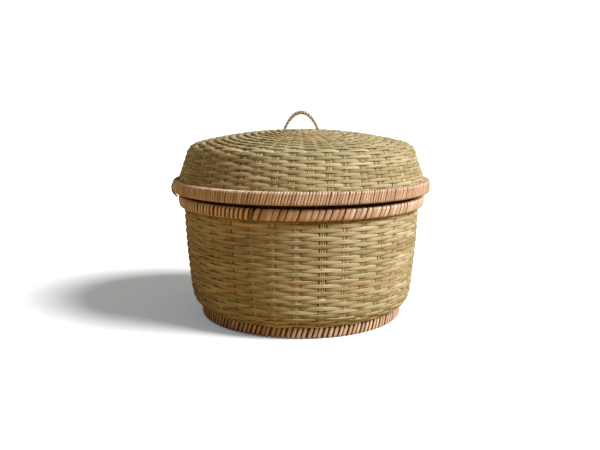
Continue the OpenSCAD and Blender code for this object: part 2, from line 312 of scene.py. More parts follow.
@dataclass
class Strands:
    """Many strands of one piece, each a row of rings of points.

    Points are in millimetres with the shape strands, rings, points of a ring, 3. Along and across
    place each point on its strand, number tells the strands apart, and tone has three shares.
    """

    points: Array
    along: Array
    across: Array
    number: Array
    tone: Array
    # a strand's place in its cell of the atlas, along and round it, and its caps inside the cell's ends
    ALONG_CELL = (0.03, 0.97)
    ROUND_CELL = (0.06, 0.94)
    CAP_MIDDLES = ((-1, 0.015), (1, 0.985))
    CAP_SIZE = (0.01, 0.35)

    def bake_map(self) -> Array:
        """Lay the strands out as rows of an atlas.

        Returns:
            One place in the unit square for each corner of each face, in the mesh's order.
        """
        strands, rings, sides, _ = self.points.shape
        reach = np.linalg.norm(np.diff(self.points.mean(2), axis=1), axis=2).sum(1).mean()
        loop = np.concatenate([self.points, self.points[:, :, :1]], 2)
        girth = np.linalg.norm(np.diff(loop, axis=2), axis=3).sum(2).mean()
        columns = max(1, round(math.sqrt(strands * girth / reach)))
        rows = math.ceil(strands / columns)
        row, column = np.divmod(np.arange(strands)[:, None], columns)
        u = (column + np.linspace(*self.ALONG_CELL, rings)) / columns
        v = (row + np.linspace(*self.ROUND_CELL, sides + 1)) / rows
        corner_u = np.stack([u[:, :-1], u[:, :-1], u[:, 1:], u[:, 1:]], -1)[:, :, None]
        corner_v = np.stack([v[:, :-1], v[:, 1:], v[:, 1:], v[:, :-1]], -1)[:, None]
        shape = (strands, rings - 1, sides, 4)
        sides_laid = [np.broadcast_to(corner, shape) for corner in (corner_u, corner_v)]
        laid = [np.stack(sides_laid, -1).reshape(-1, 2)]
        turn = WHOLE_TURN * np.arange(sides) / sides
        wide, high = self.CAP_SIZE
        for side, middle in self.CAP_MIDDLES:
            cap_u = (column + middle + wide * np.cos(turn)) / columns
            cap_v = (row + 0.5 + high * side * np.sin(turn)) / rows
            laid.append(np.stack([cap_u, cap_v], -1).reshape(-1, 2))
        return np.concatenate(laid)

    def build(self, name: str) -> Object:
        """Make one mesh of all the strands.

        Args:
            name: The piece's name.

        Returns:
            The new object, with its grain, its tone and a bake map.
        """
        strands, rings, sides, _ = self.points.shape
        index = np.arange(strands * rings * sides).reshape(strands, rings, sides)
        near, far = index[:, :-1], index[:, 1:]
        quads = np.stack([near, np.roll(near, -1, 2), np.roll(far, -1, 2), far], -1).reshape(-1, 4)
        caps = np.concatenate([index[:, 0, ::-1], index[:, -1]])
        places = self.points.reshape(-1, 3) * MM
        uv = self.bake_map()
        a, b, c, d = (places[quads[:, i]] for i in range(4))
        volume = np.einsum("ij,ij->", a, np.cross(b, c)) + np.einsum("ij,ij->", a, np.cross(c, d))
        if volume < 0:
            split = quads.size
            quad_uv, cap_uv = uv[:split].reshape(-1, 4, 2), uv[split:].reshape(-1, sides, 2)
            uv = np.concatenate([part[:, ::-1].reshape(-1, 2) for part in (quad_uv, cap_uv)])
            quads, caps = quads[:, ::-1], caps[:, ::-1]
        corners = np.concatenate([quads.ravel(), caps.ravel()])
        starts = np.concatenate([np.arange(len(quads)) * 4, quads.size + np.arange(len(caps)) * sides])
        mesh = bpy.data.meshes.new(name)
        mesh.vertices.add(len(places))
        mesh.vertices.foreach_set("co", places.astype(np.float32).ravel())
        mesh.loops.add(len(corners))
        mesh.loops.foreach_set("vertex_index", corners.astype(np.int32))
        mesh.polygons.add(len(starts))
        mesh.polygons.foreach_set("loop_start", starts.astype(np.int32))
        mesh.update(calc_edges=True)
        mesh.polygons.foreach_set("use_smooth", np.ones(len(starts), dtype=bool))
        mesh.uv_layers.new(name="OFBake").data.foreach_set("uv", uv.astype(np.float32).ravel())
        shape = self.points.shape[:3]
        parts = (self.along, self.across, self.number)
        grain = np.stack([np.broadcast_to(part, shape) for part in parts], -1)
        for label, values in (("grain", grain), ("tone", np.broadcast_to(self.tone, shape + (3,)))):
            layer = mesh.attributes.new(label, "FLOAT_VECTOR", "POINT")
            layer.data.foreach_set("vector", np.ascontiguousarray(values, dtype=np.float32).ravel())
        mesh.validate()
        return stand(name, mesh)


def drift(values: Array, place: Array) -> Array:
    """Ease from one value to the next along a strand.

    Args:
        values: A value at each whole place.
        place: Where to read them, between the first and the last.

    Returns:
        The eased value at each place.
    """
    whole = np.clip(np.floor(place).astype(int), 0, len(values) - 2)
    share = np.clip(place - whole, 0, 1)
    share = share * share * (3 - 2 * share)
    return values[whole] * (1 - share) + values[whole + 1] * share


def unit(steps: Array) -> Array:
    """Scale rows of steps to a length of 1."""
    return steps / np.linalg.norm(steps, axis=1, keepdims=True)


def walked(line: Array) -> Array:
    """Distance walked along a line at each of its points."""
    return np.concatenate([[0], np.cumsum(np.linalg.norm(np.diff(line, axis=0), axis=1))])


def arc(centre: Pair, radius: float, start: float, end: float, count: int = 60) -> Array:
    """Rows of radius, height and facing on an arc, whose turn in radians is also its facing."""
    turn = np.linspace(start, end, count)
    return np.stack([centre[0] + radius * np.cos(turn), centre[1] + radius * np.sin(turn), turn], 1)


def straight(start: Pair, end: Pair, facing: float, count: int = 60) -> Array:
    """Rows of radius, height and facing on a straight stretch, which faces one way, in radians."""
    return np.column_stack([np.linspace(start, end, count), np.full(count, facing)])


def bow(radius: float, start: float, end: float, centre: Pair = (0.0, 0.0), count: int = 14) -> Array:
    """Points on part of a circle, in degrees, as rows of outwards and upwards."""
    return arc(centre, radius, math.radians(start), math.radians(end), count)[:, :2]


class Outline:
    """The middle of a woven wall in section, walked from its lashed edge to the basket's axis."""

    STEP = 0.25
    # number of steps over which the facing is eased where two stretches meet
    EASE = 9

    def __init__(self, stretches: Sequence[Array]) -> None:
        """Join the stretches and ease the bends between them.

        Args:
            stretches: Rows of radius, height and facing, in walking order.
        """
        line = np.concatenate(stretches)
        way = walked(line[:, :2])
        keep = np.concatenate([[True], np.diff(way) > 1e-6])
        self.length = np.arange(0, way[-1], self.STEP)
        columns = (np.interp(self.length, way[keep], line[keep, i]) for i in range(3))
        self.radius, self.height, facing = columns
        padded = np.pad(facing, self.EASE // 2, mode="edge")
        self.facing = np.convolve(padded, np.ones(self.EASE) / self.EASE, mode="valid")

    @property
    def end(self) -> float:
        """Length of the whole outline."""
        return float(self.length[-1])

    def at_radius(self, radius: float) -> float:
        """Length along the outline where it has shrunk to a radius."""
        return float(np.interp(-radius, -self.radius, self.length))

    def radius_at(self, length: Array) -> Array:
        """Radius of the wall's middle at each length along the outline."""
        return np.interp(length, self.length, self.radius)

    def place(self, angle: Array, length: Array, out: Array) -> Array:
        """Find points in space.

        Args:
            angle: Turn about the basket's axis, in radians from +X.
            length: Distance along the outline.
            out: Distance outwards from the wall's middle.

        Returns:
            The points, in millimetres.
        """
        facing = np.interp(length, self.length, self.facing)
        reach = self.radius_at(length) + out * np.cos(facing)
        height = np.interp(length, self.length, self.height) + out * np.sin(facing)
        return np.stack([reach * np.cos(angle), reach * np.sin(angle), height + 0 * angle], -1)


@dataclass
class Hoop:
    """A hoop bent round the basket, from a section given as radius and height."""

    section: Array
    segments: int = 180
    # width of the rounding along its sharp edges, which bend by more than SHARP radians
    edge: float = 0.25
    SHARP = 0.6

    def build(self, name: str) -> Object:
        """Turn the section about the basket's axis.

        Args:
            name: The piece's name.

        Returns:
            The new object.
        """
        shape = bmesh.new()
        rings = []
        for turn in WHOLE_TURN * np.arange(self.segments) / self.segments:
            x, y = math.cos(turn) * MM, math.sin(turn) * MM
            rings.append([shape.verts.new((r * x, r * y, z * MM)) for r, z in self.section])
        for near, far in zip(rings, rings[1:] + rings[:1]):
            for i, corner in enumerate(near):
                shape.faces.new((corner, far[i], far[i - 1], near[i - 1]))
        bmesh.ops.recalc_face_normals(shape, faces=shape.faces)
        if self.edge:
            sharp = [edge for edge in shape.edges if edge.calc_face_angle(0) > self.SHARP]
            bmesh.ops.bevel(shape, geom=sharp, offset=self.edge * MM, segments=2, affect="EDGES")
        mesh = bpy.data.meshes.new(name)
        shape.to_mesh(mesh)
        shape.free()
        mesh.polygons.foreach_set("use_smooth", np.ones(len(mesh.polygons), dtype=bool))
        return stand(name, mesh)


@dataclass
class Weave:
    """Grass wound round and round a wall, over one bunch of stalks and behind the next.

    The weaver is one spiral. An odd number of bunches makes each row pass over the bunches that
    the last one passed behind. A float is the weaver's way over one bunch.
    """

    outline: Outline
    bunches: int
    # places of the bunches that face the photograph; the others are spaced evenly
    seen: tuple[float, ...]
    row_pitch: float
    start: float
    seed: int
    rows: int = 0
    lift: float = 0.5
    bulge: float = 0.34
    thickness: float = 0.76
    # where the weaver dives behind the next bunch, as a share of the way to it
    dive: float = 0.825
    coil_radius: float = 0.0
    stalks: int = 4
    stalk_pitch: float = 1.12
    eye_x: float = 0.0
    eye_r: float = 1.4
    wander: float = 0.12
    # rows grow wider and rounder past this row, by these shares
    widens_at: float = 1000.0
    widening: float = 0.0
    rounding: float = 0.0
    # 1 for the passes in front of the bunches, -1 for the passes behind them, seen from inside
    side: float = 1.0
    # rusty stains: place, half its width, row, half its rows, and how strong it is
    stains: tuple[tuple[float, float, float, float, float], ...] = ()
    # where rings stand between two bunches: close together where the weaver dives in or comes out
    RINGS = (0.0, 0.12, 0.165, 0.21, 0.5, 0.79, 0.835, 0.88)
    # places across the weaver on its outer side and back along its inner side
    OUTER = (-1.0, -0.8, -0.42, 0.0, 0.42, 0.8, 1.0)
    INNER = (0.7, 0.0, -0.7)
    # half its width at places from a float's middle to the next bunch, for rows of DRAWN_PITCH
    DRAWN_PITCH = 2.45
    HALF_PLACES = (0.0, 0.25, 0.5, 0.8, 1.0)
    HALF_WIDTHS = (1.22, 1.27, 1.31, 1.28, 1.4)
    # how steeply it dives, and the number of rows in which three quarters of the widening come
    STEEPNESS = 20.0
    WIDENS_IN = 4.0
    # near the axis the weaver lies in a plain coil: its rise, half its width, and how it eases in
    COIL_RISE = 0.3
    COIL_HALF = 1.15
    COIL_EASE = 4.0
    # its section: the power that squares it off, and the depth of its back against its front
    SQUARING = 2.7
    BACK = 0.8
    # a crease runs along it: how far it wanders across, half its width, and its depth
    CREASE = (0.55, 0.3, 0.35)
    # how much floats differ in width, and how far they tilt, in radians
    UNEVEN = 0.06
    TILT = 0.2
    # how much narrower a float is where it has grown round
    NARROWS = 0.12
    # chances that a new stalk is laid in at a float, that it is greenish or rusty, and of a rusty speck
    CHANCES = (0.12, 0.3, 0.12, 0.008)
    # a new piece of grain starts after this many floats
    FLOATS_A_STALK = 12
    # the middle row stops this far from the axis
    AXIS_GAP = 0.4
    # the middle of the wall, a sheet painted dark as painted shade: spacing of its rings, and its two faces
    CORE_STEP = 2.0
    CORE_FACES = (0.1, -0.1)
    # stalks: share of the bunches that lost one, sway against their pitch, and pull of the weaver on them
    LOST = 0.4
    SWAY = 0.12
    PULL = 0.08
    # their sizes, half their thickness, and the share of the way round that they fill near the axis
    STALK_SIZES = (0.9, 1.05)
    STALK_HALF = 0.46
    FILLED = 0.4

    def bunch_angles(self) -> Array:
        """Find each bunch's turn about the axis, starting behind the basket.

        Returns:
            Angles in radians from +X, and the first one again after a whole turn.
        """
        rest = self.bunches - len(self.seen) + 1
        hidden = np.linspace(self.seen[-1], self.seen[0] + 360, rest + 1)[1:-1]
        every = np.sort(np.concatenate([self.seen, (hidden + 180) % 360 - 180]))
        return np.radians(np.append(every, every[0] + 360) + 270)

    def tones(self, count: int, rng: np.random.Generator) -> Array:
        """Choose how pale, green and rusty each float is.

        Args:
            count: Number of floats.
            rng: Source of chance.

        Returns:
            Three shares for each float.
        """
        new, greenish, rusty, speck = self.CHANCES
        stalk = np.cumsum(rng.random(count) < new)
        kinds = stalk.max() + 1
        pale = rng.normal(0.5, 0.16, kinds)[stalk] + rng.normal(0, 0.17, count)
        green = np.where(rng.random(kinds) < greenish, rng.uniform(0.15, 0.6, kinds), 0.05)[stalk]
        rust = np.where(rng.random(kinds) < rusty, rng.uniform(0.1, 0.3, kinds), 0.0)[stalk]
        rust = np.maximum(rust, np.where(rng.random(count) < speck, rng.uniform(0.4, 0.9, count), 0))
        return np.clip(np.stack([pale, green, rust], 1), 0, 1)

    def stained(self, tone: Array, turns: Array, degrees: Array) -> Array:
        """Rust the floats that lie in a stain.

        Args:
            tone: Three shares for each ring.
            turns: Turns that the weaver has made at each ring.
            degrees: Place of each ring.

        Returns:
            The new shares.
        """
        for place, wide, row, rows, strength in self.stains:
            beside = (degrees - place + 180) % 360 - 180
            mask = strength * np.exp(-((beside / wide) ** 2) - ((turns - row) / rows) ** 2)
            tone[..., 2] = np.maximum(tone[..., 2], mask)
        return tone

    def part_eyes(self, points: Array) -> Array:
        """Push strands aside where the loop's legs pass through.

        Args:
            points: Points in millimetres.

        Returns:
            The moved points.
        """
        if not self.eye_x:
            return points
        for side in (-1, 1):
            gap = points[..., :2] - np.array([side * self.eye_x, 0.0])
            away = np.linalg.norm(gap, axis=-1, keepdims=True)
            reach = 2.2 * self.eye_r
            pushed = self.eye_r + away * (reach - self.eye_r) / reach
            points[..., :2] += np.where(away < reach, gap / np.maximum(away, 1e-6) * (pushed - away), 0)
        return points

    def reach(self, turns: Array) -> Array:
        """Length along the outline that the weaver has reached after some turns."""
        over = np.maximum(turns - self.widens_at, 0)
        return self.start + self.row_pitch * (turns + self.widening * over * over / (over + self.WIDENS_IN))

    def rows_to(self, length: float) -> int:
        """Number of rows that start before a length along the outline."""
        return int(np.searchsorted(self.reach(np.arange(200)), length))

    def middle(self, bunches: int, first: float, row_pitch: float, **changes: Any) -> "Weave":
        """Carry the weave on to the axis with about half as many bunches.

        Args:
            bunches: The number of bunches left.
            first: Place of one bunch, so that the rows go on where these end.
            row_pitch: About the new pitch.
            **changes: The new weave's other settings.

        Returns:
            The new weave, whose last row closes the middle.
        """
        start = float(self.reach(self.rows))
        left = self.outline.end - self.AXIS_GAP - start
        rows = round(left / row_pitch)
        return Weave(self.outline, bunches, (first,), left / rows, start, self.seed + 2, rows, **changes)

    def weaver(self, first: int = 0, last: int | None = None) -> Strands:
        """Wind the weaver over some of its rows.

        Args:
            first: The first row.
            last: The row after the last one, or None for all.

        Returns:
            One strand for each row.
        """
        rng = np.random.default_rng(self.seed)
        count = self.rows * self.bunches + 4
        shift, width, tilt, crease = (rng.uniform(-1, 1, count) for _ in range(4))
        tones = self.tones(count, rng)
        rows = np.arange(first, self.rows if last is None else last)[:, None, None]
        local = (np.arange(self.bunches)[:, None] + np.array(self.RINGS)).ravel()
        local = np.append(local, self.bunches)[:, None]
        crossing = rows * self.bunches + local
        turns = crossing / self.bunches
        shifted = crossing + (1 if self.side > 0 else 2)
        beside = shifted % 2 - 1
        float_id = np.floor(shifted / 2).astype(int)

        over = np.maximum(turns - self.widens_at, 0)
        grown = over * (over + 2 * self.WIDENS_IN) / (over + self.WIDENS_IN) ** 2
        length = self.reach(turns)
        radius = self.outline.radius_at(length)
        woven = np.clip((radius - self.coil_radius) / self.COIL_EASE, 0, 1)
        arched = self.bulge * (1 + self.rounding * grown) * np.cos(math.pi * beside)
        wave = self.lift * np.tanh(self.STEEPNESS * (self.dive - np.abs(beside))) + arched
        rise = self.side * (wave * woven + self.COIL_RISE * (1 - woven))
        scale = self.row_pitch / self.DRAWN_PITCH * (1 + self.widening * grown)
        scale = scale * (1 - self.NARROWS * self.rounding * grown)
        half = np.interp(np.abs(beside), self.HALF_PLACES, self.HALF_WIDTHS) * scale
        half = half * (1 + self.UNEVEN * drift(width, crossing / 2)) * woven
        half = half + self.COIL_HALF * scale * (1 - woven)
        thick = self.thickness / 2 * (1 + self.rounding * grown)

        across = np.array(self.OUTER + self.INNER)
        swell = np.sqrt(np.clip(1 - np.abs(across) ** self.SQUARING, 0, 1))
        swell[len(self.OUTER):] *= -self.BACK
        far, wide, deep = self.CREASE
        dent = np.exp(-(((across - far * drift(crease, crossing / 3)) / wide) ** 2)) * (swell > 0) * deep
        sideways = self.side * across * half
        outwards = self.side * (swell - dent) * thick
        lean = self.TILT * drift(tilt, crossing / 2)
        middle = length + self.wander * drift(shift, crossing / 2)
        angle = np.interp(local, np.arange(self.bunches + 1), self.bunch_angles())
        points = self.outline.place(angle, middle + sideways * np.cos(lean) - outwards * np.sin(lean),
                                    rise + sideways * np.sin(lean) + outwards * np.cos(lean))
        along = (turns - rows) * WHOLE_TURN * radius.mean(1, keepdims=True)
        tone = self.stained(tones[float_id], turns, np.degrees(angle) + 90)
        number = float_id // self.FLOATS_A_STALK + self.seed * 31
        return Strands(self.part_eyes(points), along, across, number, tone)

    def core(self, start: float, end: float) -> Hoop:
        """Lay the middle of the wall, a sheet painted dark as painted shade, which closes the pinholes beside
        the stalks.

        Args:
            start: Where it starts along the outline.
            end: Where it ends.

        Returns:
            A sheet 0.2 mm thick, turned about the axis.
        """
        length = np.arange(start, end, self.CORE_STEP)
        still = 0 * length
        outer, inner = (self.outline.place(still, length, face + still)[:, ::2] for face in self.CORE_FACES)
        return Hoop(np.concatenate([outer, inner[::-1]]), segments=120, edge=0.0)

    def stakes(self, start: float, end: float) -> Strands:
        """Stand the bunches of stalks that the weaver goes round.

        Args:
            start: Where they start along the outline.
            end: Where they end.

        Returns:
            One strand for each stalk.
        """
        rng = np.random.default_rng(self.seed + 1000)
        steps = max(8, round((end - start) / (self.row_pitch / 2)))
        length = np.linspace(start, end, steps + 1)[:, None]
        # where a bunch has lost a stalk, the others in it stand wider
        held = self.stalks - (rng.random(self.bunches) < self.LOST)
        bunch = np.repeat(np.arange(self.bunches), held)[:, None, None]
        slot = np.concatenate([(np.arange(n) - (n - 1) / 2) * (self.stalks + n) / 2 / n for n in held])
        count = len(bunch)
        radius = self.outline.radius_at(length)
        room = self.FILLED * WHOLE_TURN * radius / self.bunches / self.stalks
        pitch = np.minimum(self.stalk_pitch, room)
        sway = np.linspace(0, steps / 5, steps + 1)
        wobble = np.stack([drift(rng.uniform(-1, 1, steps), sway) for _ in range(count)])[..., None]
        aside = slot[:, None, None] * pitch + self.SWAY * wobble * pitch
        # the weaver pulls the stalks in and out a little, row by row
        row = (length - self.start) / self.row_pitch - bunch / self.bunches
        bend = -self.PULL * np.cos(math.pi * (row + bunch))
        turn = WHOLE_TURN * np.arange(6) / 6
        size = rng.uniform(*self.STALK_SIZES, count)[:, None, None]
        wide = aside + 0.5 * pitch * size * np.cos(turn)
        deep = bend + self.STALK_HALF * size * np.sin(turn)
        pale = np.clip(rng.normal(0.6, 0.22, count), 0, 1)
        green = np.where(rng.random(count) < 0.2, rng.uniform(0.2, 0.7, count), 0.05)
        rust = np.where(rng.random(count) < 0.05, rng.uniform(0.2, 0.6, count), 0)
        tone = np.stack([pale, green, rust], 1)[:, None, None]
        number = (np.arange(count) + self.seed * 17)[:, None, None]
        points = self.outline.place(self.bunch_angles()[bunch] + wide / radius, length + 0 * wide, deep)
        return Strands(self.part_eyes(points), length, np.cos(turn), number, tone)


class Lay(Enum):
    """How the strip of a lashing lies: its number of strips side by side in a turn."""

    SINGLE = 1
    PAIRED = 2


@dataclass
class Lashing:
    """A split cane strip wound round a hoop and through the weave, turn after turn.

    The path is the middle of the strip in one turn, as places outwards and upwards from the
    hoop's edge.
    """

    path: Array
    radius: float
    height: float
    turns: int
    width: float
    lean: float
    seed: int
    lay: Lay = Lay.SINGLE
    thickness: float = 0.7
    roundness: float = 0.75
    samples: int = 26
    jitter: float = 0.1
    paleness: float = 0.58
    unevenness: float = 0.26
    greenness: float = 0.0
    # places and the room that a turn takes there, against the others
    spacing: tuple[Pair, ...] = ((-180.0, 1.0), (180.0, 1.0))
    # lean at the left of the front, if it isn't the same
    lean_left: float | None = None
    # the only place that has a strip, if it isn't wound all round
    only: float | None = None
    # height of the table, on which the foot's strip is pressed flat
    lowest: float = -math.inf
    # where a new strip was joined on: the older one to its left is paler, narrower and more upright
    splice: float | None = None
    splice_end: float = -96.0
    OLDER_PALENESS = 0.95
    OLDER_WIDTH = 0.7
    OLDER_LEAN = 9.0
    # how much turns differ in width, and in lean, in degrees
    UNEVEN = 0.07
    LEAN_SPREAD = 1.5
    # places across the strip on its outer side and back along its inner side
    OUTER = (-1.0, -0.88, -0.55, -0.15, 0.25, 0.6, 0.9, 1.0)
    INNER = (0.85, 0.0, -0.85)
    # places between which the lean changes
    LEAN_PLACES = (-180, -120, -50, -15)
    # its section: the power that rounds its outer side, its thin edges, and its back
    ROUNDING = 3.2
    EDGE = 0.05
    BACK = -0.85
    # length of grain from one turn to the next, so that no two look alike
    GRAIN_STEP = 41.0

    def middle(self) -> Array:
        """Ease the path and space its points evenly.

        Returns:
            Rows of outwards and upwards.
        """
        line = self.path
        for _ in range(2):
            cut = np.stack([0.75 * line[:-1] + 0.25 * line[1:], 0.25 * line[:-1] + 0.75 * line[1:]], 1)
            line = np.concatenate([line[:1], cut.reshape(-1, 2), line[-1:]])
        way = walked(line)
        even = np.linspace(0, way[-1], self.samples)
        return np.stack([np.interp(even, way, line[:, i]) for i in range(2)], 1)

    def places(self, rng: np.random.Generator) -> tuple[Array, Array]:
        """Space the strips round the basket.

        Args:
            rng: Source of chance.

        Returns:
            Each strip's place, and its share of the room of a common turn.
        """
        if self.only is not None:
            return np.array([self.only]), np.array([1.0])
        # round the basket in tenths of a degree
        fine = np.linspace(-180, 180, 3601)
        room = np.interp(fine, *zip(*self.spacing))
        count = np.concatenate([[0], np.cumsum(0.1 / (0.5 * (room[1:] + room[:-1])))])
        count *= self.turns / count[-1]
        index = np.arange(self.turns) + 0.5 + rng.uniform(-1, 1, self.turns) * self.jitter
        if self.lay is Lay.PAIRED:
            split = rng.uniform(0.225, 0.25, self.turns)
            index = np.stack([index - split, index + split], 1).ravel()
        place = np.interp(index, count, fine)
        pitch = np.interp(place, fine, np.gradient(fine, count)) / (360 / self.turns)
        return place, pitch / self.lay.value

    def tones(self, place: Array, rng: np.random.Generator) -> Array:
        """Choose how pale, green and rusty each strip is.

        Args:
            place: Each strip's place.
            rng: Source of chance.

        Returns:
            Three shares for each strip.
        """
        count = len(place)
        slow = 0.08 * np.sin(np.radians(place) * 3 + self.seed)
        pale = rng.normal(self.paleness, self.unevenness, count) + slow
        rust = np.clip(rng.normal(0.06, 0.16, count), 0, 0.6)
        green = self.greenness + np.where(rng.random(count) < 0.03, 0.3, 0.0)
        older = self.is_older(place)
        pale = np.where(older, self.OLDER_PALENESS + 0.5 * (pale - self.paleness), pale)
        rust = np.where(older, 0.0, rust)
        if self.splice is not None:
            knot = np.argmin(np.abs(place - self.splice))
            pale[knot], green[knot], rust[knot] = 0.1, 1.0, 0.0
        return np.clip(np.stack([pale, green, rust], 1), 0, 1)

    def is_older(self, place: Array) -> Array:
        """Tell which strips lie to the left of the splice, where an older strip was wound."""
        splice = -math.inf if self.splice is None else self.splice
        return (place < splice) & (place > self.splice_end)

    def strips(self) -> Strands:
        """Wind the strip.

        Returns:
            One strand for each strip of each turn.
        """
        rng = np.random.default_rng(self.seed)
        middle = self.middle()
        ahead = unit(np.gradient(middle, axis=0))
        out = np.stack([ahead[:, 1], -ahead[:, 0]], 1) * (-1 if self.runs_clockwise() else 1)
        place, room = self.places(rng)
        count = len(place)
        older = self.is_older(place)
        width = self.width * room * (1 + rng.uniform(-self.UNEVEN, self.UNEVEN, count))
        width = width * np.where(older, self.OLDER_WIDTH, 1.0)
        left = self.lean if self.lean_left is None else self.lean_left
        lean = np.interp(place, self.LEAN_PLACES, (self.lean, left, left, self.lean))
        lean = lean + rng.uniform(-self.LEAN_SPREAD, self.LEAN_SPREAD, count)
        lean = np.radians(lean - np.where(older, self.OLDER_LEAN, 0.0))
        tone = self.tones(place, rng)[:, None, None]

        across = np.array(self.OUTER + self.INNER)
        dome = 1 - self.roundness * np.abs(across) ** self.ROUNDING
        dome[0] = dome[len(self.OUTER) - 1] = self.EDGE
        dome[len(self.OUTER):] = self.BACK
        deep = dome * self.thickness / 2
        reach, rise = (middle[:, None, i] + deep * out[:, None, i] for i in range(2))
        # its two ends are drawn in to three quarters of its width
        taper = 1 - 0.25 * np.clip(np.abs(np.linspace(-1, 1, self.samples)) * 4 - 3, 0, 1)[:, None]
        place, width, lean = (each[:, None, None] for each in (place, width, lean))
        slide = across * (width / 2) * taper / np.cos(lean) + middle[:, None, 1] * np.tan(lean)
        turned = np.radians(place - 90) + slide / (self.radius + 0.5 * reach)
        height = np.maximum(self.height + rise, self.lowest) + 0 * turned
        distance = self.radius + reach
        points = np.stack([distance * np.cos(turned), distance * np.sin(turned), height], -1)
        number = np.arange(count)[:, None, None]
        along = walked(middle)[:, None] + self.GRAIN_STEP * number
        return Strands(points, along, across, number + self.seed * 13, tone)

    def runs_clockwise(self) -> bool:
        """Tell whether the path runs clockwise round the hoop, drawn with outwards to the right."""
        a, b = self.path[:-1], self.path[1:]
        return bool(np.sum(a[:, 0] * b[:, 1] - a[:, 1] * b[:, 0]) < 0)


class Half:
    """What the bowl and the lid share: how their woven walls are dressed."""

    BODY: ClassVar[Body]
    # the woven pieces in the order of making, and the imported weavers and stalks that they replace
    PIECES: ClassVar[tuple[str, ...]]
    WEAVERS: ClassVar[str]
    SHELL: ClassVar[str]
    # how far the stalks of each go past the change, and what the middle's stalks leave to the coil
    # and the core to the axis
    OVERLAP = 2.0
    NEAR_AXIS = 0.5

    def dress_weave(self, wall: Weave, middle: Weave, split: int, low: float, change: float) -> None:
        """Weave the wall and the middle, with their stalks and their inner passes, and dress them.

        Args:
            wall: The wall and its turn.
            middle: The base or the crown.
            split: The row of the wall at which its turn starts.
            low: Where the wall's stalks start along the outline.
            change: Where the middle takes over.
        """
        outline = wall.outline
        behind, under = (replace(weave, side=-1.0, seed=weave.seed + 30) for weave in (wall, middle))
        held = outline.at_radius(middle.coil_radius + self.NEAR_AXIS)
        shapes = (
            (wall.weaver(0, split), GRASS_WEAVER, Slot.WEAVERS, (self.WEAVERS,)),
            (wall.weaver(split), GRASS_WEAVER, Slot.WEAVERS, ()),
            (wall.stakes(low, change + self.OVERLAP), GRASS_STAKE, Slot.STAKES, (self.SHELL,)),
            (middle.weaver(), GRASS_WEAVER, Slot.WEAVERS, ()),
            (middle.stakes(change - self.OVERLAP, held), GRASS_STAKE, Slot.STAKES, ()),
            # the core sheet's dark colour is painted shade deep in the weave
            (wall.core(low, outline.end - self.NEAR_AXIS), CORE_PAINTED_SHADE, Slot.STAKES, ()),
            (behind.weaver(), GRASS_WEAVER, Slot.WEAVERS, ()),
            (under.weaver(), GRASS_WEAVER, Slot.WEAVERS, ()))
        for name, (shape, finish, slot, replaced) in zip(self.PIECES, shapes, strict=True):
            dress(shape.build(name), finish, self.BODY, slot, *replaced)


